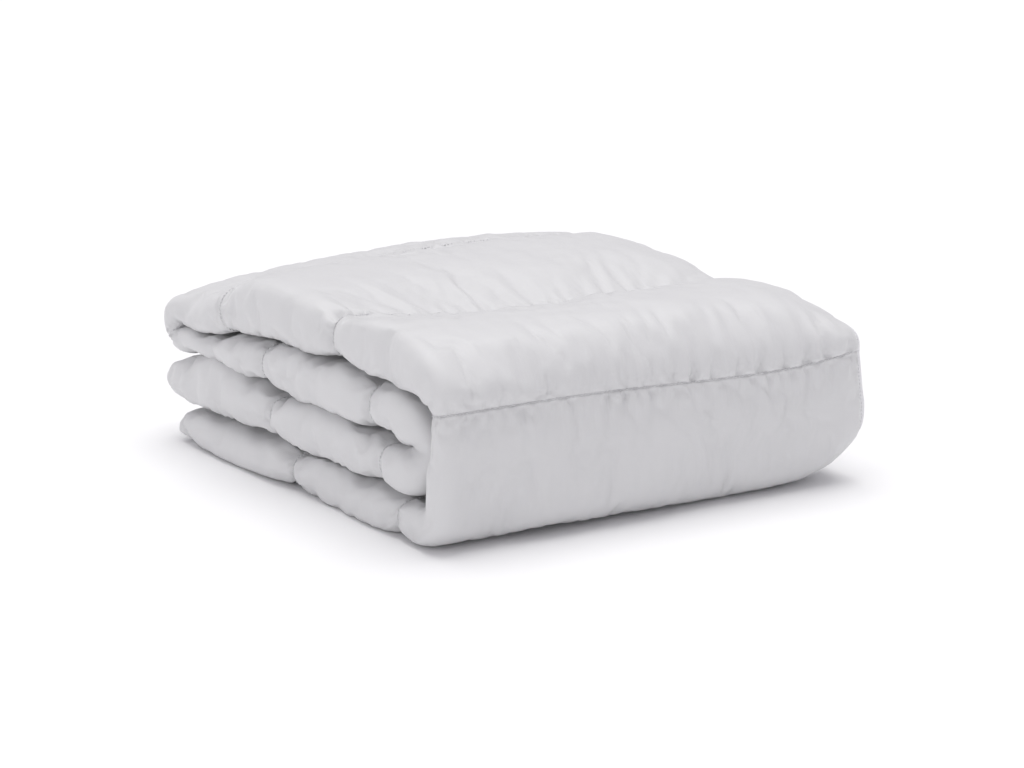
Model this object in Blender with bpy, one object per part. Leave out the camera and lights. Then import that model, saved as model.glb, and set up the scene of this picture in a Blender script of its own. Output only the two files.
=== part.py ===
"""A quilted duvet, folded for storage: a strip of four plies, folded lengthwise into four levels.

Frame: X across the pack (left is -X), Y front to back (front is -Y), Z up, metres.
The origin is at the middle of the pack's footprint, on the surface it lies on.

Every piece is drawn flat on the duvet and then folded. Flat places are given by
  along   distance down the strip, from the base level's back hem to the last level's back hem
  across  distance over the duvet's width, from the hem of the outer ply to the hem of the inner ply
  lift    height above the middle of the ply, positive towards the face cover
"""

import math

import bmesh
import bpy

# Pack
PACK_WIDTH = 0.556
PACK_DEPTH = 0.590
FRONT_SEAM_HEIGHT = 0.150
BASE_END_SETBACK = 0.038
LAST_END_SETBACK = 0.010
RIDGE_RISE = math.radians(0.5)
TOP_LOFT = 1.28

# Duvet
CHANNEL_PITCH = 0.236
BASE_CHANNELS = 3
LOOSE_CHANNELS = 2
PRESSED_CHANNELS = 6
PLY_PITCH = 0.0115
PLY_GAP = 0.0005
CLOTH = 0.0007
CROWN_REACH = 0.035
EDGE_REACH = 0.015

# Sewing
SEAM_HALF_THICKNESS = 0.0018
STITCH_HALF_WIDTH = 0.0012
HEM_WIDTH = 0.008
LABEL_WIDTH = 0.036
LABEL_LENGTH = 0.024
LABEL_THICKNESS = 0.0006
LABEL_FROM_SIDE = 0.060

# Fits
CLEARANCE = 0.0003
LEVEL_GAP = 0.0006
FOLD_CORE = 0.001
BEND_CORE = 0.003

# Facets
SAME_PLACE = 1e-6
LEAST_STEP = 0.0012
BEND_STEPS = 4
FOLD_STEPS = 4
OUTER_EDGE_STEPS = 4
INNER_EDGE_STEPS = 2

# Worked out from the sizes above
HALF_LEVEL = 2 * PLY_PITCH
PLY_HALF = PLY_PITCH / 2 - PLY_GAP / 2
FILL_INSET = STITCH_HALF_WIDTH + CLEARANCE
FRONT = -PACK_DEPTH / 2
BACK = PACK_DEPTH / 2
LEFT = -PACK_WIDTH / 2
RIGHT = PACK_WIDTH / 2
CORNER_RADIUS = HALF_LEVEL + BEND_CORE
TOP_CORNER_RADIUS = HALF_LEVEL * TOP_LOFT + BEND_CORE
FOLD_RADIUS = HALF_LEVEL + FOLD_CORE
BASE_MIDDLE = HALF_LEVEL - PLY_GAP / 2
LAST_MIDDLE = BASE_MIDDLE + 2 * HALF_LEVEL + LEVEL_GAP
THIRD_MIDDLE = LAST_MIDDLE + 2 * FOLD_RADIUS
TOP_BEND_HEIGHT = max(FRONT_SEAM_HEIGHT, THIRD_MIDDLE + HALF_LEVEL + LEVEL_GAP - BEND_CORE)
WALL_MIDDLE = FRONT + HALF_LEVEL
TIP_FOLD_CENTRE = BACK - FOLD_RADIUS - HALF_LEVEL
INNER_FOLD_CENTRE = FRONT + 2 * HALF_LEVEL + LEVEL_GAP + HALF_LEVEL + FOLD_RADIUS

COVER_WHITE = (0.86, 0.86, 0.89, 1.0)
BACK_WHITE = (0.80, 0.80, 0.84, 1.0)
FILL_WHITE = (0.93, 0.93, 0.92, 1.0)
THREAD_GREY = (0.66, 0.66, 0.70, 1.0)
LABEL_WHITE = (0.90, 0.90, 0.88, 1.0)


class SidePath:
    """The middle line of the strip seen from the side, as straight runs and bends."""

    def __init__(self, y, z, heading):
        self.y = y
        self.z = z
        self.heading = heading
        self.length = 0.0
        self.stations = []
        self.mark()

    def mark(self):
        """Notes this place: its length along the tight side, its point, and the outward direction."""
        outward = self.heading + math.pi / 2
        self.stations.append((self.length, self.y, self.z, math.cos(outward), math.sin(outward)))

    def run(self, distance):
        self.y += distance * math.cos(self.heading)
        self.z += distance * math.sin(self.heading)
        self.length += distance
        self.mark()

    def bend(self, radius, angle, steps):
        """Turns by the angle, clockwise where it is positive. The tight outer side sets the length."""
        side = math.copysign(math.pi / 2, angle)
        centre_y = self.y + radius * math.cos(self.heading - side)
        centre_z = self.z + radius * math.sin(self.heading - side)
        for _ in range(steps):
            self.heading -= angle / steps
            self.length += (radius + HALF_LEVEL) * abs(angle) / steps
            self.y = centre_y + radius * math.cos(self.heading + side)
            self.z = centre_z + radius * math.sin(self.heading + side)
            self.mark()


def strip_path():
    """The folded strip: base, up the front, back over the top, and two levels folded under it."""
    path = SidePath(BACK - BASE_END_SETBACK, BASE_MIDDLE, math.pi)
    path.run(BACK - BASE_END_SETBACK - (WALL_MIDDLE + CORNER_RADIUS))
    path.bend(CORNER_RADIUS, math.pi / 2, BEND_STEPS)
    path.run(FRONT_SEAM_HEIGHT - path.z)
    front_seam = path.length
    if TOP_BEND_HEIGHT > FRONT_SEAM_HEIGHT:
        path.run(TOP_BEND_HEIGHT - path.z)
    top_bend = path.length
    path.bend(TOP_CORNER_RADIUS, math.pi / 2 - RIDGE_RISE, BEND_STEPS)
    path.run(front_seam + CHANNEL_PITCH - path.length)
    fall = math.atan2(path.z - THIRD_MIDDLE - 2 * FOLD_RADIUS, TIP_FOLD_CENTRE - path.y)
    path.heading = -fall
    path.run((TIP_FOLD_CENTRE - path.y) / math.cos(fall))
    tip = path.length
    path.bend(FOLD_RADIUS, math.pi - fall, FOLD_STEPS)
    path.run(path.y - INNER_FOLD_CENTRE)
    path.bend(FOLD_RADIUS, -math.pi, FOLD_STEPS)
    path.run(BACK - LAST_END_SETBACK - path.y)
    return path.stations, front_seam, top_bend, tip


def spread(start, end, count):
    """The places that part start..end into equal channels, without the start."""
    return [start + (end - start) * (step + 1) / count for step in range(count)]


PATH, FRONT_SEAM, TOP_BEND, TIP_START = strip_path()
STRIP_LENGTH = PATH[-1][0]
LOOSE_END = FRONT_SEAM + LOOSE_CHANNELS * CHANNEL_PITCH
SEAMS = (
    [HEM_WIDTH + CLEARANCE]
    + spread(0.0, FRONT_SEAM, BASE_CHANNELS)
    + spread(FRONT_SEAM, LOOSE_END, LOOSE_CHANNELS)
    + spread(LOOSE_END, STRIP_LENGTH, PRESSED_CHANNELS)
)
SEAMS[-1] = STRIP_LENGTH - HEM_WIDTH - CLEARANCE
LOWER_SPLIT = SEAMS[BASE_CHANNELS - 1]
UPPER_SPLIT = SEAMS[BASE_CHANNELS]


def between(low, high, share):
    return low + (high - low) * share


def by_seam(place):
    """Whether this place is a seam, or the edge of the wadding beside one."""
    insets = (-FILL_INSET, 0.0, FILL_INSET)
    return any(abs(place - seam - inset) < SAME_PLACE for seam in SEAMS for inset in insets)


def on_path(along, path):
    """The middle line's point and outward direction, read straight between two stations."""
    for first, last in zip(path, path[1:]):
        if along <= last[0]:
            break
    share = (along - first[0]) / (last[0] - first[0])
    return [between(a, b, share) for a, b in zip(first[1:], last[1:])]


def all_stations():
    """Every place along the strip where a surface may turn, so that nested surfaces stay parallel."""
    places = [station[0] for station in PATH]
    for start, end in zip(SEAMS, SEAMS[1:]):
        places += [start, start + FILL_INSET, start + CROWN_REACH]
        places += [end - CROWN_REACH, end - FILL_INSET, end]
    kept = []
    for here in sorted(places):
        close = kept and here - kept[-1] < LEAST_STEP
        if close and by_seam(kept[-1]):
            continue
        if close:
            kept.pop()
        kept.append(here)
    return kept


def loft(along):
    """How far the plies stand up: the top level is looser than the pressed ones."""
    rise_end = TOP_BEND + (TOP_CORNER_RADIUS + HALF_LEVEL) * (math.pi / 2 - RIDGE_RISE) / BEND_STEPS
    if along <= TOP_BEND or along >= TIP_START:
        return 1.0
    if along < rise_end:
        return between(1.0, TOP_LOFT, (along - TOP_BEND) / (rise_end - TOP_BEND))
    if along > LOOSE_END:
        return between(TOP_LOFT, 1.0, (along - LOOSE_END) / (TIP_START - LOOSE_END))
    return TOP_LOFT


STATIONS = all_stations()
FOLDED_PATH = [(station, *on_path(station, PATH)) for station in STATIONS]


class BandPath:
    """The four plies seen end on, as a line in X and in height over the strip's middle."""

    def __init__(self):
        self.length = 0.0
        self.stations = []

    def mark(self, x, height, face_x, face_height):
        self.stations.append((self.length, x, height, face_x, face_height))

    def run(self, x_end, height, facing):
        start = self.stations[-1][1] if self.stations else RIGHT
        if not self.stations:
            self.mark(start, height, 0.0, facing)
        self.length += abs(x_end - start)
        self.mark(x_end, height, 0.0, facing)

    def turn(self, centre_x, centre_height, start_angle, sweep, steps, facing):
        radius = math.hypot(self.stations[-1][1] - centre_x, self.stations[-1][2] - centre_height)
        for step in range(steps):
            angle = start_angle + sweep * (step + 1) / steps
            self.length += radius * abs(sweep) / steps
            x = centre_x + radius * math.cos(angle)
            height = centre_height + radius * math.sin(angle)
            self.mark(x, height, facing * math.cos(angle), facing * math.sin(angle))


def band_path():
    """Outer ply, round the left edge, lower ply, round the right fold, and back round the left edge."""
    half = PLY_PITCH / 2
    left_centre = LEFT + 4 * half
    right_centre = RIGHT - 2 * half
    path = BandPath()
    path.run(left_centre, 3 * half, 1.0)
    path.turn(left_centre, 0.0, math.pi / 2, math.pi, OUTER_EDGE_STEPS, 1.0)
    path.run(right_centre, -3 * half, -1.0)
    path.turn(right_centre, -2 * half, -math.pi / 2, math.pi, INNER_EDGE_STEPS, 1.0)
    path.run(left_centre, -half, 1.0)
    path.turn(left_centre, 0.0, -math.pi / 2, -math.pi, INNER_EDGE_STEPS, -1.0)
    path.run(RIGHT, half, -1.0)
    return path.stations


BAND = band_path()
DUVET_WIDTH = BAND[-1][0]
BAND_STATIONS = [station[0] for station in BAND]
TURN_IN = HEM_WIDTH + CLEARANCE + EDGE_REACH
PLY_STATIONS = sorted(BAND_STATIONS + [TURN_IN, DUVET_WIDTH - TURN_IN])


def on_band(across):
    for first, last in zip(BAND, BAND[1:]):
        if across <= last[0]:
            break
    share = (across - first[0]) / (last[0] - first[0])
    return [between(a, b, share) for a, b in zip(first[1:], last[1:])]


def ply_half(along, across):
    """Half the ply's thickness: full over a channel, pinched at each seam and hem."""
    seam_distance = min(abs(along - seam) for seam in SEAMS)
    edge_distance = min(across, DUVET_WIDTH - across) - HEM_WIDTH - CLEARANCE
    share = min(1.0, seam_distance / CROWN_REACH, max(0.0, edge_distance / EDGE_REACH))
    return between(SEAM_HALF_THICKNESS, PLY_HALF, share)


def place(along, across, lift):
    """Folds one flat place into the pack."""
    x, height, face_x, face_height = on_band(across)
    height = (height + lift * face_height) * loft(along)
    y, z, out_y, out_z = on_path(along, FOLDED_PATH)
    return (x + lift * face_x, y + height * out_y, z + height * out_z)


def stops(first, last, stations):
    """The ends of a piece, with the stations that lie between them."""
    return [first] + [place for place in stations if first + SAME_PLACE < place < last - SAME_PLACE] + [last]


def make_material(name, colour, roughness):
    material = bpy.data.materials.new(name)
    material.use_nodes = True
    shader = material.node_tree.nodes["Principled BSDF"]
    shader.inputs["Base Color"].default_value = colour
    shader.inputs["Roughness"].default_value = roughness
    shader.inputs["Metallic"].default_value = 0.0
    return material


def make_object(name, mesh_builder, material, parent):
    """Moves the built mesh into its parent's frame, so that the origin lies on the joint's axis."""
    if mesh_builder.calc_volume(signed=True) < 0:
        bmesh.ops.reverse_faces(mesh_builder, faces=mesh_builder.faces)
    offset = parent.matrix_world.translation
    bmesh.ops.translate(mesh_builder, verts=mesh_builder.verts, vec=-offset)
    mesh = bpy.data.meshes.new(name)
    mesh_builder.to_mesh(mesh)
    mesh_builder.free()
    mesh.materials.append(material)
    piece = bpy.data.objects.new(name, mesh)
    collection.objects.link(piece)
    piece.parent = parent
    return piece


def folded_slab(name, alongs, acrosses, low, high, material, parent):
    """A slab cut flat over a grid of places, then folded. low and high give its faces' lift at a place."""
    builder = bmesh.new()
    rows = len(alongs) - 1
    columns = len(acrosses) - 1
    bmesh.ops.create_grid(builder, x_segments=rows, y_segments=columns, size=0.5)
    bmesh.ops.triangulate(builder, faces=builder.faces, quad_method="FIXED")
    raised = bmesh.ops.extrude_face_region(builder, geom=builder.faces)
    raised_verts = {item for item in raised["geom"] if isinstance(item, bmesh.types.BMVert)}
    for vert in builder.verts:
        along = alongs[round((vert.co.x + 0.5) * rows)]
        across = acrosses[round((vert.co.y + 0.5) * columns)]
        lift = high(along, across) if vert in raised_verts else low(along, across)
        vert.co = place(along, across, lift)
    return make_object(name, builder, material, parent)


def folded_strip(name, alongs, acrosses, half, material, parent):
    """A slab of one thickness, half of it on each side of the ply's middle."""

    def top(along, across):
        return half

    def bottom(along, across):
        return -half

    folded_slab(name, alongs, acrosses, bottom, top, material, parent)


def make_cover(name, side, first, last, material, parent):
    """One cloth of the duvet between two places along it. side is 1 for the face and -1 for the back."""
    alongs = stops(first, last, STATIONS)
    acrosses = stops(HEM_WIDTH + CLEARANCE, DUVET_WIDTH - HEM_WIDTH - CLEARANCE, PLY_STATIONS)

    def outer(along, across):
        return side * ply_half(along, across)

    def inner(along, across):
        return side * (ply_half(along, across) - CLOTH)

    folded_slab(name, alongs, acrosses, inner, outer, material, parent)


def make_fill(number, material, parent):
    """The wadding of one channel, held between its two seams."""
    alongs = stops(SEAMS[number - 1] + FILL_INSET, SEAMS[number] - FILL_INSET, STATIONS)
    acrosses = stops(HEM_WIDTH + 2 * CLEARANCE, DUVET_WIDTH - HEM_WIDTH - 2 * CLEARANCE, PLY_STATIONS)

    def top(along, across):
        return ply_half(along, across) - CLOTH - CLEARANCE

    def bottom(along, across):
        return -top(along, across)

    folded_slab(f"fill_channel_{number:02d}", alongs, acrosses, bottom, top, material, parent)


def make_stitching(number, material, parent):
    """The row of stitches between two channels, across all four plies, between the two cloths."""
    alongs = [SEAMS[number] - STITCH_HALF_WIDTH, SEAMS[number], SEAMS[number] + STITCH_HALF_WIDTH]
    acrosses = stops(HEM_WIDTH + 2 * CLEARANCE, DUVET_WIDTH - HEM_WIDTH - 2 * CLEARANCE, BAND_STATIONS)
    half = SEAM_HALF_THICKNESS - CLOTH - CLEARANCE
    folded_strip(f"quilt_stitching_{number:02d}", alongs, acrosses, half, material, parent)


def make_side_hem(name, first, last, on_outer_ply, material, parent):
    """The turned and sewn edge of one long side, over the stretch that one body holds."""
    alongs = stops(first, last, STATIONS)
    acrosses = [0.0, HEM_WIDTH] if on_outer_ply else [DUVET_WIDTH - HEM_WIDTH, DUVET_WIDTH]
    folded_strip(name, alongs, acrosses, SEAM_HALF_THICKNESS, material, parent)


def make_end_hem(name, first, last, material, parent):
    """The turned and sewn edge of one end, over the whole width of the duvet."""
    acrosses = stops(0.0, DUVET_WIDTH, BAND_STATIONS)
    folded_strip(name, [first, last], acrosses, SEAM_HALF_THICKNESS, material, parent)


def make_care_label(material, parent):
    """A blank label sewn to the last end's hem, lying against the hem's back edge."""
    x, y, z = place(STRIP_LENGTH, LABEL_FROM_SIDE, 0.0)
    builder = bmesh.new()
    bmesh.ops.create_cube(builder, size=1.0)
    bmesh.ops.scale(builder, verts=builder.verts, vec=(LABEL_WIDTH, LABEL_THICKNESS, LABEL_LENGTH))
    middle = (x, y + CLEARANCE + LABEL_THICKNESS / 2, z - LABEL_LENGTH / 2 + SEAM_HALF_THICKNESS)
    bmesh.ops.translate(builder, verts=builder.verts, vec=middle)
    make_object("care_label", builder, material, parent)


def make_pivot(name, location, parent):
    pivot = bpy.data.objects.new(name, None)
    collection.objects.link(pivot)
    if parent:
        pivot.parent = parent
        location = [end - start for end, start in zip(location, parent.matrix_world.translation)]
    pivot.location = location
    bpy.context.view_layer.update()
    return pivot


def bend_hinge(radius, centre_y, centre_z, angle):
    """The hinge line of a bend: half way round it, on its tight outer side."""
    reach = radius + HALF_LEVEL
    return (0.0, centre_y + reach * math.cos(angle), centre_z + reach * math.sin(angle))


for old_object in list(bpy.data.objects):
    bpy.data.objects.remove(old_object, do_unlink=True)

collection = bpy.data.collections.new("folded_duvet")
bpy.context.scene.collection.children.link(collection)

face_cloth = make_material("face_microfibre", COVER_WHITE, 0.55)
back_cloth = make_material("back_microfibre", BACK_WHITE, 0.6)
wadding = make_material("wadding", FILL_WHITE, 0.95)
thread = make_material("thread", THREAD_GREY, 0.7)
label_cloth = make_material("label_cloth", LABEL_WHITE, 0.8)

wall_centre_y = WALL_MIDDLE + CORNER_RADIUS
top_centre_y = WALL_MIDDLE + TOP_CORNER_RADIUS
front_axis = bend_hinge(CORNER_RADIUS, wall_centre_y, BASE_MIDDLE + CORNER_RADIUS, math.radians(225))
top_axis = bend_hinge(TOP_CORNER_RADIUS, top_centre_y, TOP_BEND_HEIGHT, math.radians(135))
base = make_pivot("base", (0.0, 0.0, 0.0), None)
front = make_pivot("front_hinge", front_axis, base)
top = make_pivot("top_hinge", top_axis, front)

half_split = CLEARANCE / 2
stretches = [
    ("base", base, SEAMS[0], LOWER_SPLIT - half_split),
    ("front", front, LOWER_SPLIT + half_split, UPPER_SPLIT - half_split),
    ("top", top, UPPER_SPLIT + half_split, SEAMS[-1]),
]
for body, pivot, first, last in stretches:
    make_cover(f"face_cover_{body}", 1, first, last, face_cloth, pivot)
    make_cover(f"back_cover_{body}", -1, first, last, back_cloth, pivot)
    make_side_hem(f"outer_side_hem_{body}", first, last, True, face_cloth, pivot)
    make_side_hem(f"inner_side_hem_{body}", first, last, False, face_cloth, pivot)

for channel in range(1, len(SEAMS)):
    if channel < BASE_CHANNELS:
        holder = base
    elif channel == BASE_CHANNELS:
        holder = front
    else:
        holder = top
    make_fill(channel, wadding, holder)
    if channel < len(SEAMS) - 1:
        make_stitching(channel, thread, holder)


make_end_hem("end_hem_base", 0.0, HEM_WIDTH, face_cloth, base)
make_end_hem("end_hem_top", STRIP_LENGTH - HEM_WIDTH, STRIP_LENGTH, face_cloth, top)
make_care_label(label_cloth, top)

# The pack's box is centred over the origin and stands on it.
bpy.context.view_layer.update()
pieces = [item for item in collection.objects if item.type == "MESH"]
corners = [piece.matrix_world @ vert.co for piece in pieces for vert in piece.data.vertices]
lows = [min(corner[axis] for corner in corners) for axis in range(3)]
highs = [max(corner[axis] for corner in corners) for axis in range(3)]
base.location = (-(lows[0] + highs[0]) / 2, -(lows[1] + highs[1]) / 2, -lows[2])
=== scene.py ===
"""A quilted duvet folded for storage: its looks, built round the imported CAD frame.

Frame: X across the pack (left is -X), Y front to back (front is -Y), Z up, metres.
The duvet is drawn flat, as a grid of places along the strip and across its four plies,
and then folded, so its cloth is continuous from the bottom level to the last one.
"""

import math

import bmesh
import bpy
import numpy as np
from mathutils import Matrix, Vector


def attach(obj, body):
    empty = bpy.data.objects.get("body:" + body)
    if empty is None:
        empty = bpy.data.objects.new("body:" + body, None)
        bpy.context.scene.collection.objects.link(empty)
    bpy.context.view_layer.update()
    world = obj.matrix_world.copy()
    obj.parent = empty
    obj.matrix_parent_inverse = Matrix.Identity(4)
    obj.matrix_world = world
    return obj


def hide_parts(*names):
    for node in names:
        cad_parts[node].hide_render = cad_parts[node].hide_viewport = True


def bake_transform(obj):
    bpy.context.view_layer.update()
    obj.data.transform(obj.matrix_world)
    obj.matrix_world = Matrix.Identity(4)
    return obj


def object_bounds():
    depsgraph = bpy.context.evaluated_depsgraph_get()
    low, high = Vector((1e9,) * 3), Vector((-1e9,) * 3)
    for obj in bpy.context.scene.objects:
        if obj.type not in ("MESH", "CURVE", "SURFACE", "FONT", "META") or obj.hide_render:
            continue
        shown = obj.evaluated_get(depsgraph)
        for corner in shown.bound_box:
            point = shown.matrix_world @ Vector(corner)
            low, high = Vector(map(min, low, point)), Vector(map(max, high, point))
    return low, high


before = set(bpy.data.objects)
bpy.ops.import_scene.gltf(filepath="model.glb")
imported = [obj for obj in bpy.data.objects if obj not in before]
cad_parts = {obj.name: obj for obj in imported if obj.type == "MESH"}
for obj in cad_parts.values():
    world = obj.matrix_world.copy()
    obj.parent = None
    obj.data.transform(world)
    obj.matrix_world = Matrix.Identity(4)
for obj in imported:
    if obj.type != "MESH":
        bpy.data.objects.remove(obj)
cad_low, cad_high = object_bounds()

SEED = 7
LEFT = cad_low.x
RIGHT = cad_high.x
MM = 0.001
FLOOR_GAP = 0.2 * MM

# The levels seen from the side: (y, z, half thickness) in millimetres, then what is there.
SEAM = 1
PUCKER = 2
TUCK = 3
# Bends: y and z of the centre, and the radius, in millimetres.
CORNER = (-246.0, 54.5, 32.0)
TOP_BEND = (-240.0, 148.0, 38.0)
TIP_FOLD = (268.0, 144.0, 20.0)
INNER_FOLD = (-207.0, 99.5, 27.0)
BASE_LEVEL = [
    (271, 10, 8, 0), (263, 15, 14.5, 0), (247, 20, 19, 0), (226, 22, 21.5, 0), (190, 22.5, 22.5, 0),
    (110, 22.5, 22.5, 0), (12, 22, 21, SEAM), (-60, 22.5, 22.5, 0), (-140, 23, 23, 0),
    (-206, 23, 21.5, SEAM), (-230, 22.5, 22.5, 0),
]
FRONT_WALL = [(-278, 95, 17.5, 0), (-279, 148, 15, SEAM)]
TOP_LEVEL = [
    (-190, 187, 28, PUCKER), (-140, 188, 29, 0), (-78, 184, 25, SEAM), (-10, 184, 29, 0), (60, 186, 31, 0),
    (110, 187, 31.5, 0), (154, 183, 27, SEAM), (195, 175, 28, 0), (235, 166, 22, 0),
]
THIRD_LEVEL = [
    (238, 127, 17, 0), (212, 128, 16, 0), (190, 131, 17, PUCKER), (160, 132, 20, 0), (120, 130, 24, 0),
    (76, 128, 25, SEAM), (20, 127, 27, 0), (-47, 128, 26, PUCKER), (-100, 129, 27.5, 0),
    (-150, 128.5, 26, SEAM),
]
LAST_LEVEL = [
    (-170, 74, 23, SEAM), (-120, 74, 25.5, 0), (-60, 73, 27, 0), (0, 72, 27, 0),
    (60, 73, 24, SEAM), (110, 76, 29, 0), (160, 80, 33.5, 0), (205, 80, 34, 0), (240, 77, 31, 0),
    (268, 73, 28, 0), (288, 70, 22, 0), (299, 68, 13, 0),
]
# How far a pucker or a tuck pulls the left edge in, in millimetres, and its share of the thickness.
PUCKER_PULL = (3.0, 0.06)
TUCK_PULL = (17.0, 0.3)


def arc(centre, start, end, half, count):
    """Points of a bend, angles in degrees from +Y towards +Z."""
    y, z, radius = centre
    turns = np.radians(np.linspace(start, end, count))
    return [(y + radius * math.cos(t), z + radius * math.sin(t), half, 0) for t in turns]


def control_points():
    """The strip's middle line from its free end at the bottom to the one at the back."""
    points = BASE_LEVEL + arc(CORNER, 270, 180, 20, 5) + FRONT_WALL
    points += arc(TOP_BEND, 155, 90, 26, 4) + TOP_LEVEL
    tip = arc(TIP_FOLD, 75, -75, 19, 6)
    tip[4] = (*tip[4][:3], SEAM)
    inner = arc(INNER_FOLD, 92, 268, 26, 7)
    inner[3] = (*inner[3][:3], TUCK)
    points += tip + THIRD_LEVEL + inner + LAST_LEVEL
    return np.array(points, float)


def densify(points, step):
    """A smooth curve through the points, read every step. Also gives the marks' places on it."""
    chord = np.hypot(np.diff(points[:, 0]), np.diff(points[:, 1]))
    at = np.concatenate([[0.0], np.cumsum(chord)])
    values = points[:, :3]
    slope = np.gradient(values, at, axis=0)
    places = np.linspace(0.0, at[-1], int(at[-1] / step) + 1)
    left = np.clip(np.searchsorted(at, places) - 1, 0, len(at) - 2)
    gap = (at[left + 1] - at[left])[:, None]
    t = (places - at[left])[:, None] / gap
    curve = (
        values[left] * (2 * t**3 - 3 * t**2 + 1) + slope[left] * gap * (t**3 - 2 * t**2 + t)
        + values[left + 1] * (3 * t**2 - 2 * t**3) + slope[left + 1] * gap * (t**3 - t**2)
    )
    return curve, places, [at[points[:, 3] == kind] for kind in (SEAM, PUCKER, TUCK)]


def smoothed(values, reach):
    """Each column averaged over a window, with its ends held."""
    kernel = np.hanning(2 * reach + 3)[1:-1]
    kernel /= kernel.sum()
    padded = np.pad(values, [(reach, reach)] + [(0, 0)] * (values.ndim - 1), mode="edge")
    if values.ndim == 1:
        return np.convolve(padded, kernel, "valid")
    return np.stack([np.convolve(c, kernel, "valid") for c in padded.T], axis=1)


def side_path():
    """The strip's middle line: length, place, outward direction and half thickness on each side."""
    line_reach, tangent_reach, half_reach, side_reach = 6, 5, 8, 10
    bend_room = 0.96
    curve, places, marks = densify(control_points() * [MM, MM, MM, 1.0], MM)
    line = smoothed(curve[:, :2], line_reach)
    step = np.gradient(line, axis=0)
    length = np.concatenate([[0.0], np.cumsum(np.hypot(*np.diff(line, axis=0).T))])
    tangent = step / np.linalg.norm(step, axis=1)[:, None]
    tangent = smoothed(tangent, tangent_reach)
    tangent /= np.linalg.norm(tangent, axis=1)[:, None]
    outward = np.stack([-tangent[:, 1], tangent[:, 0]], axis=1)
    heading = np.unwrap(np.arctan2(tangent[:, 1], tangent[:, 0]))
    turn = np.gradient(heading, length)
    half = smoothed(curve[:, 2], half_reach)
    room = bend_room / np.maximum(np.abs(turn), 1e-6)
    inner_side = np.where(turn < 0, np.minimum(half, room), half)
    outer_side = np.where(turn > 0, np.minimum(half, room), half)
    seams, puckers, tucks = (np.interp(mark, places, length) for mark in marks)
    return {
        "at": length, "y": line[:, 0], "z": line[:, 1], "oy": outward[:, 0], "oz": outward[:, 1],
        "plus": smoothed(outer_side, side_reach), "minus": smoothed(inner_side, side_reach),
        "seams": seams,
        "puckers": [(at, *PUCKER_PULL) for at in puckers] + [(at, *TUCK_PULL) for at in tucks],
    }


PATH = side_path()
SEAMS = PATH["seams"]
PUCKERS = PATH["puckers"]
LENGTH = PATH["at"][-1]

# The seams by their number along the strip.
BASE_SEAM, FRONT_SEAM, SECOND_TOP_SEAM, BACK_TOP_SEAM, TIP_SEAM = 1, 2, 3, 4, 5

# The four plies seen end on. Heights are shares of the level's half thickness.
EDGE_ROUND = 27 * MM
EDGE_CENTRE = LEFT + EDGE_ROUND
EDGE_REACH = 21.5 * MM
FOLD_CENTRE = RIGHT - 13 * MM
FOLD_REACH = 7 * MM
OUTER_HEIGHT = 0.75
INNER_HEIGHT = 0.25
PLY_SHARE = 0.24
SEAM_HALF = 1.7 * MM
HEM = 8 * MM
LEVEL_HALF = 23 * MM
FULL_ACROSS = 0.72
FULL_UP = 0.86
TURN_POINTS = 19


def band_path():
    """Outer ply, round the left edge, lower ply, round the right fold, back round the left edge."""
    rows = []

    def turn(x, height, reach, rise, start, end, facing):
        for t in np.radians(np.linspace(start, end, TURN_POINTS)):
            c, s = math.cos(t), math.sin(t)
            fuller_c = math.copysign(abs(c) ** FULL_ACROSS, c)
            fuller_s = math.copysign(abs(s) ** FULL_UP, s)
            rows.append((x + reach * fuller_c, height + rise * fuller_s, facing * c, facing * s))

    rows.append((RIGHT, OUTER_HEIGHT, 0.0, 1.0))
    turn(EDGE_CENTRE, 0.0, EDGE_REACH, OUTER_HEIGHT, 90, 270, 1.0)
    turn(FOLD_CENTRE, -0.5, FOLD_REACH, INNER_HEIGHT, -90, 90, 1.0)
    turn(EDGE_CENTRE, 0.0, FOLD_REACH, INNER_HEIGHT, 270, 90, -1.0)
    rows.append((RIGHT, INNER_HEIGHT, 0.0, -1.0))
    rows = np.array(rows)
    steps = np.hypot(np.diff(rows[:, 0]), np.diff(rows[:, 1]) * LEVEL_HALF)
    return np.concatenate([[0.0], np.cumsum(steps)]), rows


BAND_AT, BAND = band_path()
WIDTH = BAND_AT[-1]
# Where each turn starts and ends, by its number in the band path.
OUTER_TURN = (1, TURN_POINTS)
FOLD_TURN = (1 + TURN_POINTS, 2 * TURN_POINTS)
INNER_TURN = (1 + 2 * TURN_POINTS, 3 * TURN_POINTS)
OUTER_END, EDGE_END = (BAND_AT[k] for k in OUTER_TURN)
LOWER_END = BAND_AT[FOLD_TURN[0]]


def smooth_step(value):
    t = np.clip(value, 0.0, 1.0)
    return t * t * (3 - 2 * t)


def waves(seed, count, shortest, longest, angles):
    """Random sine waves: wave numbers over the two flat directions, phases and lengths."""
    random = np.random.default_rng(seed)
    lengths = np.exp(random.uniform(math.log(shortest), math.log(longest), count))
    turn = random.uniform(*angles, count)
    k = 2 * math.pi / lengths
    return k * np.cos(turn), k * np.sin(turn), random.uniform(0, 2 * math.pi, count), lengths


def undulation(across, along, seed, shortest, longest, count=26):
    """Soft waves in every direction, longer ones higher."""
    total = np.zeros_like(across)
    for ka, ks, phase, length in zip(*waves(seed, count, shortest, longest, (0, math.pi))):
        total += np.sin(ka * across + ks * along + phase) * (length / longest)
    return total / math.sqrt(count / 2)


GATHER_WAVES = 26
GATHER_SHORTEST = 8.5 * MM
GATHER_LONGEST = 34 * MM
GATHER_HEIGHT = 1.9 * MM
GATHER_REACH = 0.16
GATHER_START = 5 * MM
GATHER_FADE = 0.6


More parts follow.
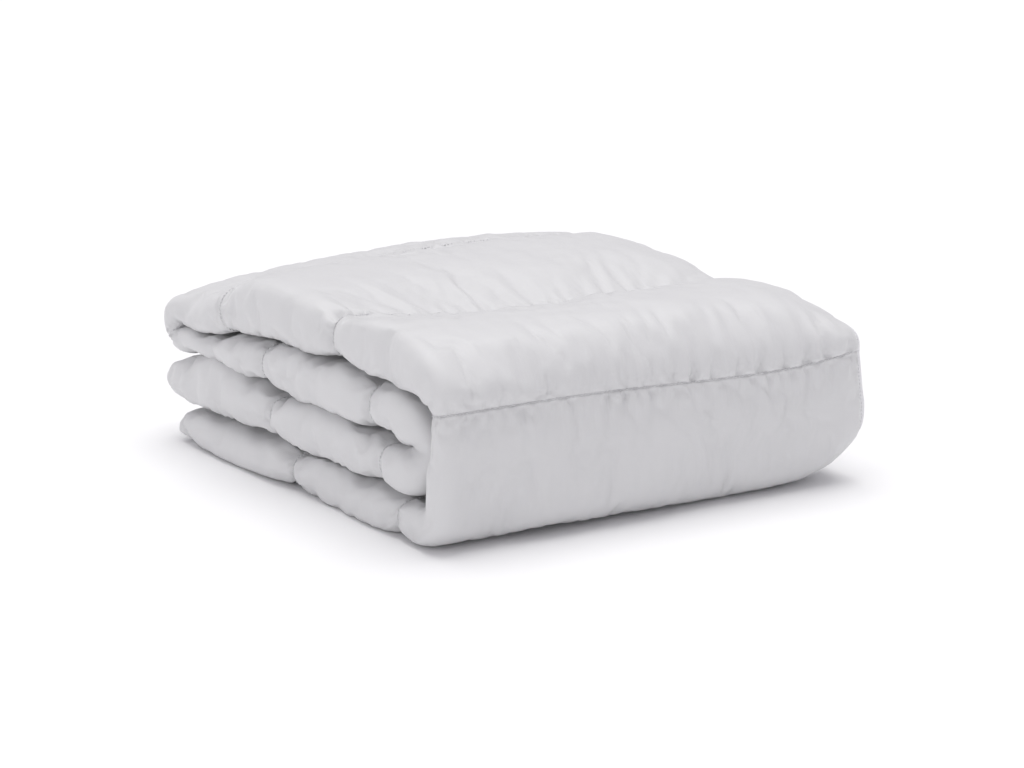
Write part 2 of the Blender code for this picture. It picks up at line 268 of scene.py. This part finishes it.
def gathers(across, along):
    """Puckers across each seam, deepest beside it. Long ones reach further than short ones."""
    lean = (-0.14, 0.14)
    total = np.zeros_like(across)
    for number, seam in enumerate(SEAMS):
        away = along - seam
        for side in (-1, 1):
            here = (away * side >= 0) & (np.abs(away) < GATHER_REACH)
            if not here.any():
                continue
            a, d = across[here], np.abs(away[here])
            patches = np.sin(a * 23 + number * 2.1 + side) * np.sin(a * 9.3 + number)
            swell = 0.6 + 0.5 * patches
            near = np.clip(d / GATHER_START, 0, 1)
            found = np.zeros_like(a)
            seed = SEED + number * 2 + (side > 0)
            table = waves(seed, GATHER_WAVES, GATHER_SHORTEST, GATHER_LONGEST, lean)
            for ka, ks, phase, length in zip(*table):
                fade = np.exp(-d / (GATHER_FADE * length))
                found += np.sin(ka * a + ks * d + phase) * fade * (length / GATHER_LONGEST) ** 0.9
            total[here] += found * near * swell
    return total * GATHER_HEIGHT


def seam_distance(along):
    """How far each place is from the nearest seam. The strip's ends count as seams 4 mm beyond them."""
    beyond = 4 * MM
    found = np.full(along.shape, 1.0)
    for seam in SEAMS:
        found = np.minimum(found, np.abs(along - seam))
    return np.minimum(found, np.minimum(along + beyond, LENGTH - along + beyond))


# The sag of the top, as (places, millimetres): along X at the back, and along Y at the right.
BACK_SAG = ([-0.278, -0.24, -0.2, -0.17, -0.1, 0.0, 0.12, 0.24], [-20, -18, -13, -8, -3, 3, 4.5, 2])
RIGHT_SAG = ([-0.29, -0.25, -0.19, -0.09, 0.0, 0.09, 0.17, 0.25], [-8, -15, -4, -3, -5, -9, -7, 0])
PACK_HEIGHT = 0.2
FRONT_SEAM_Z = 0.145
SOFT_CEILING = 0.216


def settle(x, y, z):
    """The pack's own sag: lower and rounder to the right, and a front seam that dips."""
    raised = np.clip(z / PACK_HEIGHT, 0, 1)
    right = smooth_step(x / 0.29)
    z = z - 11 * MM * right * raised**3
    lifted = smooth_step((y + 0.25) / 0.1) * smooth_step((0.2 - y) / 0.15)
    z = z + 7 * MM * smooth_step((-x - 0.06) / 0.2) * raised**3 * lifted

    right_end = np.clip((x - 0.17) / (RIGHT - 0.17), 0, 1)
    z = z - 12 * MM * right_end**2 * raised**3
    back = smooth_step((y - 0.02) / 0.2)
    z = z + np.interp(x, *BACK_SAG) * MM * back * raised**2
    z = z + np.interp(y, *RIGHT_SAG) * MM * smooth_step((x - 0.17) / 0.08) * raised**3
    z = z + 31 * MM * right_end**2.2 * np.clip(1 - z / 0.12, 0, 1) ** 1.1

    front = smooth_step((-0.20 - y) / 0.05)
    level = np.exp(-(((z - FRONT_SEAM_Z) / 0.05) ** 2))
    z = z - 8 * MM * np.exp(-(((x - 0.11) / 0.15) ** 2)) * front * level
    z = z + 10 * MM * smooth_step((x - 0.17) / 0.1) * front * level
    z = np.where(z > SOFT_CEILING, SOFT_CEILING + 0.6 * (z - SOFT_CEILING), z)

    upper = np.clip((z - 0.09) / 0.05, 0, 1)
    y = y + 9 * MM * np.clip((x - 0.22) / (RIGHT - 0.22), 0, 1) ** 2 * front * upper
    foot = np.clip(1 - z / 0.075, 0, 1) ** 2 * front
    y = y + foot * (7 * MM * smooth_step((-x - 0.05) / 0.2) + 9 * MM * smooth_step((x - 0.2) / 0.08))
    return x, y, np.maximum(z, FLOOR_GAP)


PINCH_REACH = 0.014
CROWN_REACH = 0.075
HEM_CROWN_REACH = 0.03
ROUND_END = 0.05
ROUND_LOSS = 0.78
FIRM_REACH = 0.05


def place(along, across, share, extra=0.0, ruffle=None):
    """Folds flat places. share is -1 on the back cloth and 1 on the face; extra is metres beyond it."""
    along, across = np.broadcast_arrays(np.asarray(along, float), np.asarray(across, float))
    read = {k: np.interp(along, PATH["at"], PATH[k]) for k in ("y", "z", "oy", "oz", "plus", "minus")}
    x, h, fx, fh = (np.interp(across, BAND_AT, BAND[:, k]) for k in range(4))
    d = seam_distance(along)
    edge = np.clip((EDGE_CENTRE - x) / EDGE_ROUND, 0, 1)
    round_end = np.clip((x - (RIGHT - ROUND_END)) / ROUND_END, 0, 1)
    half = np.where(h >= 0, read["plus"], read["minus"]) * np.sqrt(1 - ROUND_LOSS * round_end**2)

    # How far each seam draws the level in. The last seam on top barely does.
    pinch = np.exp(-d / PINCH_REACH)
    firm = 1 - 0.95 * np.exp(-(((along - SEAMS[BACK_TOP_SEAM]) / FIRM_REACH) ** 2))
    into_top = smooth_step((along - SEAMS[FRONT_SEAM]) / 0.03)
    out_of_top = smooth_step((SEAMS[TIP_SEAM] + 0.05 - along) / 0.03)
    top = into_top * out_of_top
    over = smooth_step((x + 0.262) / 0.2) * top
    half = half * (1 - (0.07 + 0.08 * edge * (1 - 0.7 * top)) * pinch * firm)
    second = np.exp(-((along - SEAMS[SECOND_TOP_SEAM]) / 0.055) ** 2) * over
    shift = -12 * MM * second
    half = half * (1 - 0.16 * second)

    # Each channel's crown, from the seam's own thickness to the full ply.
    crown = 1 - firm * (1 - np.clip(d / CROWN_REACH, 0, 1)) ** 2.6
    hem_crown = np.clip((np.minimum(across, WIDTH - across) - HEM) / HEM_CROWN_REACH, 0, 1)
    hem_crown = 1 - (1 - hem_crown) ** 2
    thick = SEAM_HALF + (PLY_SHARE * half - SEAM_HALF) * crown * hem_crown
    lift = share * thick + extra
    if ruffle is not None:
        lift = lift + ruffle

    # The seams, puckers and tucks pull the folded edge at the left inwards.
    tip = np.exp(-(((along - SEAMS[TIP_SEAM]) / 0.03) ** 2))
    seam_pull = 3.4 * MM * np.exp(-((d / 0.01) ** 2)) + 1.8 * MM * np.exp(-d / 0.03)
    pull = edge * firm * seam_pull * (1 - 0.7 * tip)
    for pucker, depth, squeeze in PUCKERS:
        near = np.exp(-(((along - pucker) / 0.013) ** 2)) + 0.5 * np.exp(-np.abs(along - pucker) / 0.03)
        pull = pull + edge * depth * MM * near
        half = half * (1 - squeeze * edge * near)

    height = h * half + fh * lift + shift
    px = x + fx * lift + pull
    py = read["y"] + read["oy"] * height
    pz = read["z"] + read["oz"] * height
    return np.stack(settle(px, py, pz), axis=-1)


def graded(start, end, fine, coarse, reach):
    """Places from start to end, close together near both ends."""
    places, here = [start], start
    while here < end:
        near = min(here - start, end - here)
        here += fine + (coarse - fine) * min(1.0, max(0.0, near) / reach)
        places.append(here)
    scale = (end - start) / (places[-1] - start)
    return [start + (p - start) * scale for p in places]


def columns():
    """Places across the plies: close together where they show, wide apart where they're buried."""
    shown, edge, middle_ply, inner_ply = 172, 17, 12, 14
    every = 3
    fold_first, fold_last = FOLD_TURN
    inner_first, inner_last = INNER_TURN
    found = list(np.linspace(HEM, OUTER_END, shown))
    found += list(np.linspace(OUTER_END, EDGE_END, edge)[1:])
    found += graded(EDGE_END, LOWER_END, 7 * MM, 45 * MM, 0.2)[1:]
    found += list(BAND_AT[fold_first:fold_last + 1:every][1:])
    found += list(np.linspace(BAND_AT[fold_last], BAND_AT[inner_first], middle_ply)[1:])
    found += list(BAND_AT[inner_first:inner_last + 1:every][1:])
    found += list(np.linspace(BAND_AT[inner_last], WIDTH - HEM, inner_ply)[1:])
    return np.array(found)


def rows(first, last):
    """Places along the strip from one seam to another, channel by channel."""
    fine, shown_coarse, hidden_coarse, reach = 2.4 * MM, 5.0 * MM, 8.0 * MM, 0.03
    ends = [HEM] + list(SEAMS) + [LENGTH - HEM]
    found = [ends[first]]
    for number in range(first, last):
        coarse = shown_coarse if FRONT_SEAM <= number <= TIP_SEAM else hidden_coarse
        found += graded(ends[number], ends[number + 1], fine, coarse, reach)[1:]
    return np.array(found)


def grid_faces(index):
    """The quads of a grid of point numbers, and its rim in order."""
    corners = [index[:-1, :-1], index[:-1, 1:], index[1:, 1:], index[1:, :-1]]
    rim = np.concatenate([index[:-1, 0], index[-1, :-1], index[:0:-1, -1], index[0, :0:-1]])
    return np.stack(corners, -1).reshape(-1, 4), rim


SIM_FRAMES = 16
SIM_CAP = 6 * MM
SIM_DEPTH = 0.05
HELD_NEAR_SEAM = 2.6 * MM


def cloth_object(start):
    """A sheet over a grid of points, to simulate. Gives it and its point numbers."""
    count_s, count_a = start.shape[:2]
    index = np.arange(count_s * count_a).reshape(count_s, count_a)
    quads, _ = grid_faces(index)
    mesh = bpy.data.meshes.new("cloth")
    mesh.from_pydata(start.reshape(-1, 3).tolist(), [], np.roll(quads[:, ::-1], 1, axis=1).tolist())
    mesh.update()
    cloth = bpy.data.objects.new("cloth", mesh)
    bpy.context.scene.collection.objects.link(cloth)
    return cloth, index


def add_cloth(cloth, group):
    """Light microfibre, cut 3.5 % too large, with the filling pressing it out."""
    modifier = cloth.modifiers.new("Cloth", "CLOTH")
    settings = modifier.settings
    settings.vertex_group_mass = group
    settings.quality = 4
    settings.mass = 0.12
    settings.tension_stiffness = settings.compression_stiffness = 12
    settings.shear_stiffness = 6
    settings.bending_stiffness = 0.04
    settings.shrink_min = -0.035
    settings.use_pressure = True
    settings.uniform_pressure_force = 0.3
    settings.effector_weights.gravity = 0.0
    modifier.collision_settings.use_collision = False


def simulated(face, along, across):
    """The face cloth, puffed and gathered by simulation where it shows. Seams and hidden edges are held."""
    count = int(np.searchsorted(across, EDGE_END + SIM_DEPTH))
    start = face[:, :count]
    cloth, index = cloth_object(start)
    held = np.zeros(index.shape, bool)
    held[seam_distance(along) < HELD_NEAR_SEAM] = True
    held[[0, -1]] = True
    held[:, 0] = held[:, -2:] = True
    cloth.vertex_groups.new(name="held").add(index[held].tolist(), 1.0, "REPLACE")
    add_cloth(cloth, "held")
    scene = bpy.context.scene
    for step in range(1, SIM_FRAMES + 1):
        scene.frame_set(step)
    done = cloth.evaluated_get(bpy.context.evaluated_depsgraph_get())
    ended = np.zeros(index.size * 3)
    done.data.vertices.foreach_get("co", ended)
    bpy.data.objects.remove(cloth)
    scene.frame_set(1)
    moved = ended.reshape(*index.shape, 3) - start
    far = np.linalg.norm(moved, axis=-1, keepdims=True)
    moved *= SIM_CAP * np.tanh(far / SIM_CAP) / np.maximum(far, 1e-9)
    result = face.copy()
    result[:, :count] += moved
    result[..., 2] = np.maximum(result[..., 2], FLOOR_GAP)
    return result


def ruffles(s, a):
    """How far the face cloth lies off the plain fold: puckers at the seams and soft waves between."""
    x = np.interp(a, BAND_AT, BAND[:, 0])
    shown = np.where(a < LOWER_END * 0.6, 1.0, 0.25)
    underside = smooth_step((SEAMS[BASE_SEAM] + 0.12 - s) / 0.05)
    shown = shown * (1 - underside * np.where(x < EDGE_CENTRE, 0.4, 0.85))
    calm = smooth_step(seam_distance(s) / 0.02)
    wall = smooth_step((s - SEAMS[BASE_SEAM]) / 0.05) * smooth_step((SEAMS[FRONT_SEAM] - s) / 0.05)
    rough = gathers(a, s) * shown
    rough += undulation(a, s, SEED + 90, 0.05, 0.19) * (0.9 + 0.5 * wall) * MM * shown * calm
    rough += undulation(a, s, SEED + 91, 0.018, 0.05) * 0.42 * MM * shown * calm
    return rough


def shell(name, along, across):
    """A closed pad over a grid of flat places: face cloth and back cloth, joined all round."""
    s, a = np.meshgrid(along, across, indexing="ij")
    face = place(s, a, 1.0, ruffle=ruffles(s, a))
    face = simulated(face, along, across)
    back = place(s, a, -1.0)
    verts = np.concatenate([face.reshape(-1, 3), back.reshape(-1, 3)])
    quads, rim = grid_faces(np.arange(s.size).reshape(s.shape))
    under = quads[:, ::-1] + s.size
    nxt = np.roll(rim, -1)
    sides = np.stack([rim, nxt, nxt + s.size, rim + s.size], -1)
    faces = np.concatenate([quads, under, sides])
    flat = np.stack([a.ravel(), s.ravel()], -1)
    piece = add_piece(name, verts, faces.tolist(), np.concatenate([flat, flat]), by_volume)
    is_back = np.zeros(len(faces), np.int32)
    is_back[len(quads):len(quads) + len(under)] = 1
    piece.data.polygons.foreach_set("material_index", is_back)
    away = np.tile(seam_distance(s).ravel(), 2).astype(np.float32)
    piece.data.attributes.new("seam_distance", "FLOAT", "POINT").data.foreach_set("value", away)
    return piece


def by_volume(builder):
    """Turns a closed mesh the right way out."""
    if builder.calc_volume(signed=True) < 0:
        bmesh.ops.reverse_faces(builder, faces=builder.faces)


def by_shell(builder):
    """Turns each closed shell of a mesh the right way out."""
    bmesh.ops.recalc_face_normals(builder, faces=builder.faces)


def add_piece(name, verts, faces, flat, face_outwards):
    """A smooth object in the scene, with the flat places as its UV map."""
    mesh = bpy.data.meshes.new(name)
    mesh.from_pydata(verts.tolist(), [], faces)
    mesh.update()
    piece = bpy.data.objects.new(name, mesh)
    bpy.context.scene.collection.objects.link(piece)
    builder = bmesh.new()
    builder.from_mesh(mesh)
    face_outwards(builder)
    builder.to_mesh(mesh)
    builder.free()
    loops = np.zeros(len(mesh.loops), np.int32)
    mesh.loops.foreach_get("vertex_index", loops)
    layer = mesh.uv_layers.new(name="flat")
    layer.data.foreach_set("uv", flat[loops].astype(np.float32).ravel())
    mesh.polygons.foreach_set("use_smooth", np.ones(len(mesh.polygons), bool))
    return piece


def joined(name, parts):
    """One piece from several closed shells, each given as points, faces and flat places."""
    verts, faces, flat, count = [], [], [], 0
    for points, found, places in parts:
        verts.append(points)
        faces += [[i + count for i in face] for face in found]
        flat.append(places)
        count += len(points)
    return add_piece(name, np.concatenate(verts), faces, np.concatenate(flat), by_shell)


def bar(length_places, ring, along_strip):
    """A closed bar along the strip or across it. ring is the outline, as pairs of flat place and lift."""
    ring = np.array(ring)
    count, size = len(length_places), len(ring)
    runs = np.repeat(length_places, size)
    sides = np.tile(ring[:, 0], count)
    lifts = np.tile(ring[:, 1], count)
    verts = place(runs, sides, 0.0, lifts) if along_strip else place(sides, runs, 0.0, lifts)
    index = np.arange(count * size).reshape(count, size)
    nxt = np.roll(index, -1, axis=1)
    faces = np.stack([index[:-1], nxt[:-1], nxt[1:], index[1:]], -1).reshape(-1, 4).tolist()
    faces += [index[0, ::-1].tolist(), index[-1].tolist()]
    flat = np.stack([sides, runs] if along_strip else [runs, sides], -1)
    return verts, faces, flat


def hem_ring(edge, inward):
    """The outline of a turned hem: 8 mm wide, rounded at the edge."""
    half = 1.75 * MM
    outline = [(0.0, 0.2), (0.3, 0.75), (1.0, 1.0), (4.0, 1.06), (6.0, 0.86), (7.0, 1.0), (8.4, 0.9)]
    top = [(edge + inward * u * MM, half * v) for u, v in outline]
    return top + [(u, -v) for u, v in reversed(top)]


def side_hems(first, last):
    places = rows(first, last)
    return [bar(places, hem_ring(0.0, 1.0), True), bar(places, hem_ring(WIDTH, -1.0), True)]


def end_hem(edge, inward):
    places = np.concatenate([[0.0], columns(), [WIDTH]])
    return bar(places, hem_ring(edge, inward), False)


STITCH_PITCH_SEAM, STITCH_LENGTH_SEAM, STITCH_LIFT_SEAM = 4.4 * MM, 2.8 * MM, 0.7 * MM
STITCH_PITCH_HEM, STITCH_LENGTH_HEM, STITCH_LIFT_HEM = 4.2 * MM, 3.1 * MM, 0.1 * MM
STITCH_RADIUS = 0.55 * MM
HEM_STITCH_IN = 6.0 * MM


def stitch(at, ahead, out, length, radius):
    """One stitch: a short rounded thread lying along the seam, its ends sunk in the cloth."""
    side = np.cross(ahead, out)
    profile = [(-0.5, 0.35, -1.2), (-0.38, 0.9, -0.1), (0.0, 1.0, 0.45), (0.38, 0.9, -0.1), (0.5, 0.35, -1.2)]
    sides = 6
    verts, faces = [], []
    for share, girth, rise in profile:
        for t in np.radians([0, 60, 120, 180, 240, 300]):
            around = side * math.cos(t) + out * math.sin(t)
            verts.append(at + ahead * share * length + out * rise * radius + around * radius * girth)
    for ring in range(len(profile) - 1):
        for k in range(sides):
            a, b = ring * sides + k, ring * sides + (k + 1) % sides
            faces.append([a, b, b + sides, a + sides])
    faces += [list(range(sides))[::-1], list(range(len(verts) - sides, len(verts)))]
    return np.array(verts), faces, np.zeros((len(verts), 2))


def stitch_line(along, across, length, pitch, lift):
    """Stitches along a line of flat places, on the face cloth."""
    points = place(along, across, 1.0, lift)
    raised = place(along, across, 1.0, lift + MM)
    steps = np.linalg.norm(np.diff(points, axis=0), axis=1)
    at = np.concatenate([[0.0], np.cumsum(steps)])

    def read(where, line):
        return np.array([np.interp(where, at, line[:, k]) for k in range(3)])

    found = []
    for here in np.arange(pitch, at[-1] - pitch, pitch):
        middle, above = read(here, points), read(here, raised)
        before, after = read(here - length / 2, points), read(here + length / 2, points)
        ahead = (after - before) / np.linalg.norm(after - before)
        out = (above - middle) / np.linalg.norm(above - middle)
        out = out - ahead * (out @ ahead)
        found.append(stitch(middle, ahead, out / np.linalg.norm(out), length, STITCH_RADIUS))
    return found


def threads(name, seams, first, last):
    """The stitches of these seams on the outer ply and the left edge, and those of both side hems."""
    points = 400
    along = rows(first, last)
    line = np.linspace(HEM * 1.5, EDGE_END + 0.07, points)
    parts = []
    for number in seams:
        seam = np.full(points, SEAMS[number])
        parts += stitch_line(seam, line, STITCH_LENGTH_SEAM, STITCH_PITCH_SEAM, STITCH_LIFT_SEAM)
    for across in (HEM_STITCH_IN, WIDTH - HEM_STITCH_IN):
        hem = np.full(len(along), across)
        parts += stitch_line(along, hem, STITCH_LENGTH_HEM, STITCH_PITCH_HEM, STITCH_LIFT_HEM)
    return joined(name, parts)


def care_label():
    """A blank folded label, sewn into the last level's end hem and hanging against it."""
    wide, long, thick, from_side = 36 * MM, 24 * MM, 0.5 * MM, 0.07
    points_across, points_down = 13, 11
    root = place(np.array([LENGTH]), np.array([from_side]), 0.0)[0]
    across, down = np.linspace(-0.5, 0.5, points_across), np.linspace(0.0, 1.0, points_down)
    u, v = np.meshgrid(across, down, indexing="ij")
    x = root[0] + u * wide
    z = root[2] + 2 * MM - v * long
    bow = 3.2 * MM * np.sin(np.minimum(v * 3.2, 1.57))
    y = root[1] - 2 * MM + bow + 0.9 * MM * np.sin(u * 5 + v * 2) * v
    front = np.stack([x, y, z], -1).reshape(-1, 3)
    rear = front + [0.0, thick, 0.0]
    quads, rim = grid_faces(np.arange(u.size).reshape(u.shape))
    nxt = np.roll(rim, -1)
    sides = np.stack([rim, nxt, nxt + u.size, rim + u.size], -1)
    faces = np.concatenate([quads, quads[:, ::-1] + u.size, sides]).tolist()
    flat = np.concatenate([np.stack([u.ravel(), v.ravel()], -1)] * 2) * wide
    return joined("care_label_cloth", [(np.concatenate([front, rear]), faces, flat)])


def node(tree, kind, inputs=(), **settings):
    """A shader node. Each input is a value, or another node's output to link."""
    made = tree.nodes.new(kind)
    for key, value in settings.items():
        setattr(made, key, value)
    for key, value in dict(inputs).items():
        if hasattr(value, "is_output"):
            tree.links.new(value, made.inputs[key])
        else:
            made.inputs[key].default_value = value
    return made


def math_node(tree, operation, *values):
    """The output of a maths node over values and other nodes' outputs."""
    inputs = dict(enumerate(values))
    return node(tree, "ShaderNodeMath", inputs, operation=operation).outputs[0]


def noise(tree, vector, scale, detail):
    inputs = {"Vector": vector, "Scale": scale, "Detail": detail}
    return node(tree, "ShaderNodeTexNoise", inputs).outputs["Fac"]


def stretched(tree, vector, scale):
    return node(tree, "ShaderNodeMapping", {"Vector": vector, "Scale": scale}).outputs[0]


# The mix node's sockets share names, so they are read by number.
MIX_FACTOR, MIX_A, MIX_B, MIX_RESULT = 0, 6, 7, 2


def two_tone(tree, share, dark, light):
    """A colour between two others."""
    inputs = {MIX_FACTOR: share, MIX_A: (*dark, 1.0), MIX_B: (*light, 1.0)}
    return node(tree, "ShaderNodeMix", inputs, data_type="RGBA").outputs[MIX_RESULT]


def new_material(name):
    """A material with its node tree and its shader."""
    material = bpy.data.materials.new(name)
    material.use_nodes = True
    return material, material.node_tree, material.node_tree.nodes["Principled BSDF"]


def weave_height(tree, flat, height):
    """Crossed threads, fine enough to show only as a sheen."""
    inputs = {"Vector": flat, "Scale": 620.0, "Distortion": 0.6, "Detail": 1.0}
    warp = node(tree, "ShaderNodeTexWave", inputs, bands_direction="X").outputs["Fac"]
    weft = node(tree, "ShaderNodeTexWave", inputs, bands_direction="Y").outputs["Fac"]
    return math_node(tree, "MULTIPLY", math_node(tree, "ADD", warp, weft), height)


def gather_height(tree, flat, height):
    """Small puckers that fade away from each seam, and faint creases everywhere."""
    away = node(tree, "ShaderNodeAttribute", attribute_name="seam_distance").outputs["Fac"]
    near = math_node(tree, "POWER", 2.718, math_node(tree, "MULTIPLY", away, -62.0))
    rib = noise(tree, stretched(tree, flat, (190.0, 14.0, 1.0)), 1.0, 3.0)
    creases = noise(tree, flat, 60.0, 5.0)
    puckers = math_node(tree, "MULTIPLY", math_node(tree, "MULTIPLY", rib, near), height)
    return puckers, creases


def cloth_material(name, colour, shade, roughness, sheen, weave, gather=0.0):
    """Brushed microfibre: a fine weave, soft mottling, and small puckers beside each seam."""
    material, tree, shader = new_material(name)
    flat = node(tree, "ShaderNodeUVMap", uv_map="flat").outputs[0]
    mottle = noise(tree, flat, 34.0, 4.0)
    slub = noise(tree, stretched(tree, flat, (60.0, 900.0, 1.0)), 1.0, 2.0)
    tone = math_node(tree, "MULTIPLY_ADD", slub, 0.25, math_node(tree, "MULTIPLY", mottle, 0.75))
    tree.links.new(two_tone(tree, tone, shade, colour), shader.inputs["Base Color"])
    rough = math_node(tree, "MULTIPLY_ADD", mottle, 0.12, roughness - 0.06)
    tree.links.new(rough, shader.inputs["Roughness"])
    shader.inputs["Sheen Weight"].default_value = sheen
    shader.inputs["Sheen Roughness"].default_value = 0.45
    shader.inputs["Specular IOR Level"].default_value = 0.35
    height = weave_height(tree, flat, weave)
    if gather:
        puckers, creases = gather_height(tree, flat, gather)
        height = math_node(tree, "ADD", height, puckers)
        height = math_node(tree, "MULTIPLY_ADD", creases, gather * 0.10, height)
    bump = node(tree, "ShaderNodeBump", {"Strength": 1.0, "Distance": 1.0, "Height": height})
    tree.links.new(bump.outputs[0], shader.inputs["Normal"])
    return material


def thread_material():
    """Spun thread: a fine twist along each stitch."""
    material, tree, shader = new_material("sewing_thread")
    spot = node(tree, "ShaderNodeTexCoord").outputs["Object"]
    inputs = {"Vector": spot, "Scale": 900.0, "Distortion": 2.0}
    twist = node(tree, "ShaderNodeTexWave", inputs, bands_direction="DIAGONAL").outputs["Fac"]
    colour = two_tone(tree, twist, (0.68, 0.68, 0.70), (0.82, 0.82, 0.83))
    tree.links.new(colour, shader.inputs["Base Color"])
    tree.links.new(math_node(tree, "MULTIPLY_ADD", twist, 0.15, 0.5), shader.inputs["Roughness"])
    shader.inputs["Sheen Weight"].default_value = 0.2
    bump = node(tree, "ShaderNodeBump", {"Strength": 0.6, "Distance": 0.0002, "Height": twist})
    tree.links.new(bump.outputs[0], shader.inputs["Normal"])
    return material


def face_microfibre():
    return cloth_material("face_microfibre", (0.705, 0.705, 0.71), (0.67, 0.67, 0.68),
                          roughness=0.5, sheen=0.35, weave=3e-6, gather=7e-4)


def back_microfibre():
    return cloth_material("back_microfibre", (0.74, 0.74, 0.76), (0.70, 0.70, 0.725),
                          roughness=0.6, sheen=0.2, weave=4e-6)


def hem_cloth():
    return cloth_material("hem_cloth", (0.80, 0.80, 0.815), (0.75, 0.75, 0.77),
                          roughness=0.52, sheen=0.3, weave=4e-6)


def label_satin():
    return cloth_material("label_satin", (0.82, 0.82, 0.80), (0.76, 0.76, 0.75),
                          roughness=0.4, sheen=0.2, weave=8e-6)


def floor_material():
    material, _, shader = new_material("pale_floor")
    shader.inputs["Base Color"].default_value = (0.95, 0.95, 0.955, 1.0)
    shader.inputs["Roughness"].default_value = 0.9
    return material


def paint(piece, *materials):
    piece.data.materials.clear()
    for material in materials:
        piece.data.materials.append(material)


def add_floor():
    """A flat pale floor, just under the duvet."""
    reach, below = 15, -0.5 * MM
    corners = [(-reach, -reach, below), (reach, -reach, below), (reach, reach, below), (-reach, reach, below)]
    mesh = bpy.data.meshes.new("floor")
    mesh.from_pydata(corners, [], [(0, 1, 2, 3)])
    floor = bpy.data.objects.new("floor", mesh)
    bpy.context.scene.collection.objects.link(floor)
    paint(floor, floor_material())


def add_sun(name, towards, strength, softness):
    """A sun in the direction towards, with softness as its width in degrees."""
    data = bpy.data.lights.new(name, "SUN")
    data.energy = strength
    data.angle = math.radians(softness)
    data.color = (1.0, 1.0, 0.985)
    made = bpy.data.objects.new(name, data)
    bpy.context.scene.collection.objects.link(made)
    made.rotation_mode = "QUATERNION"
    made.rotation_quaternion = (-Vector(towards)).to_track_quat("-Z", "Y")


def studio():
    """A pale room: a floor, even light all round, and wide soft suns."""
    add_floor()
    world = bpy.data.worlds.new("studio")
    world.use_nodes = True
    background = world.node_tree.nodes["Background"]
    background.inputs["Color"].default_value = (0.99, 0.965, 1.025, 1.0)
    background.inputs["Strength"].default_value = 0.45
    bpy.context.scene.world = world
    bpy.context.scene.view_settings.view_transform = "Standard"
    add_sun("overhead", (0.1, 0.12, 1.0), 2.02, 60)
    add_sun("front_fill", (-0.35, -0.9, 0.12), 0.24, 50)
    add_sun("left_fill", (-0.95, -0.1, 0.2), 0.37, 50)


def photo_camera():
    """The photograph's long lens: from the front left, a little above."""
    azimuth, elevation, distance = math.radians(-33.0), math.radians(14.4), 4.443
    target = Vector((0.0, -0.0116, 0.09))
    to_left, down = 1.9 * MM, 2.7 * MM
    level = math.cos(elevation)
    back = Vector((math.sin(azimuth) * level, -math.cos(azimuth) * level, math.sin(elevation)))
    right = Vector((math.cos(azimuth), math.sin(azimuth), 0.0))
    up = back.cross(right)
    data = bpy.data.cameras.new("photo_camera")
    data.lens, data.sensor_width = 140.6, 36.0
    data.clip_end = 60.0
    camera = bpy.data.objects.new("photo_camera", data)
    bpy.context.scene.collection.objects.link(camera)
    camera.location = target + back * distance - right * to_left - up * down
    camera.rotation_mode = "QUATERNION"
    camera.rotation_quaternion = (-back).to_track_quat("-Z", "Y")
    bpy.context.scene.camera = camera


def numbered(name, first, last):
    return [f"{name}_{number:02d}" for number in range(first, last + 1)]


def bend_base_to_front(piece):
    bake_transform(piece)


def bend_front_to_top(piece):
    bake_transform(piece)


def add_pads():
    """The filled cloth: the bottom level with the front, the crest, and the three levels of the top."""
    face, back, across = face_microfibre(), back_microfibre(), columns()
    base, crest, top = (
        shell(name, rows(first, last), across)
        for name, first, last in (("duvet_base_front", 0, 3), ("duvet_crest", 3, 4), ("duvet_top", 4, 11))
    )
    for piece in (base, crest, top):
        paint(piece, face, back)
    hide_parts("face_cover_base", "face_cover_front", "back_cover_base", "back_cover_front",
                *numbered("fill_channel", 1, 3))
    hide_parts("fill_channel_04")
    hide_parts("face_cover_top", "back_cover_top", *numbered("fill_channel", 5, 11))
    return base, crest, top


def add_hems():
    """The turned hems of the long sides and of both ends."""
    cloth = hem_cloth()
    base = joined("hem_base_front", side_hems(0, 3) + [end_hem(0.0, 1.0)])
    crest = joined("hem_crest", side_hems(3, 4))
    top = joined("hem_top", side_hems(4, 11) + [end_hem(LENGTH, -1.0)])
    for piece in (base, crest, top):
        paint(piece, cloth)
    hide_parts("outer_side_hem_base", "inner_side_hem_base", "outer_side_hem_front",
                "inner_side_hem_front", "end_hem_base")
    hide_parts("outer_side_hem_top", "inner_side_hem_top", "end_hem_top")
    return base, crest, top


def add_threads():
    """The quilting stitches and the hems' stitches."""
    thread = thread_material()
    base = threads("threads_base_front", range(3), 0, 3)
    crest = threads("threads_crest", (), 3, 4)
    top = threads("threads_top", range(3, 10), 4, 11)
    for piece in (base, crest, top):
        paint(piece, thread)
    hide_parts(*numbered("quilt_stitching", 1, 3))
    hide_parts(*numbered("quilt_stitching", 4, 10))
    return base, crest, top


def add_label():
    """The care label, in place of the CAD's."""
    label = care_label()
    paint(label, label_satin())
    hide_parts("care_label")
    return label


def main():
    """Builds every piece. The top's pieces and the label follow the top body; the others keep their place."""
    for base, crest, top in (add_pads(), add_hems(), add_threads()):
        bend_base_to_front(base)
        bend_front_to_top(crest)
        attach(top, "top")
    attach(add_label(), "top")
    studio()
    photo_camera()


main()
